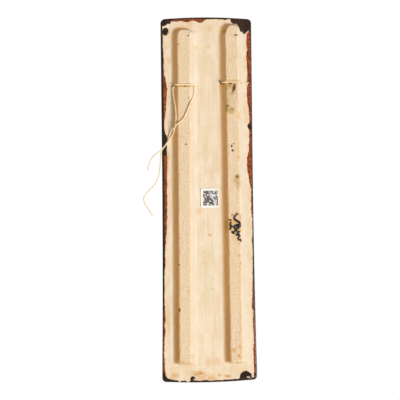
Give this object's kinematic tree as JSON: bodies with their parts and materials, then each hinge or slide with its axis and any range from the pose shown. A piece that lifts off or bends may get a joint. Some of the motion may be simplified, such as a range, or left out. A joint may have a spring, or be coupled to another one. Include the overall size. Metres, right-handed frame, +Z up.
{
  "type": "ceramic wall hanging",
  "caption": "Long narrow ceramic wall plaque, dark glaze over bare clay, with raised back ribs pierced for hanging twine and loose twine tails.",
  "frame": {"origin": "the hanging point: on the plaque's centreline, in the wall plane that the ribs' flat backs rest on, level with the pierced holes", "axes": "+Z up along the plaque, +Y out of its back towards the wall, +X to the viewer's right when facing the glazed front"},
  "size_m": [0.1121, 0.0189, 0.3651],
  "materials": {
    "ceramic": "bare cream clay on the back, glossy dark brown glaze on the front and rim",
    "label": "matte white with a small dark print",
    "left_loop_twine": "twisted natural hemp",
    "short_tail_twine": "twisted natural hemp",
    "long_tail_twine": "twisted natural hemp",
    "right_loop_twine": "twisted natural hemp"
  },
  "bodies": {
    "root": {"ceramic_plaque": "ceramic", "paper_label": "label", "string_left_loop": "left_loop_twine", "string_left_short_tail": "short_tail_twine", "string_left_long_tail": "long_tail_twine", "string_right_loop": "right_loop_twine"}
  },
  "joints": []
}
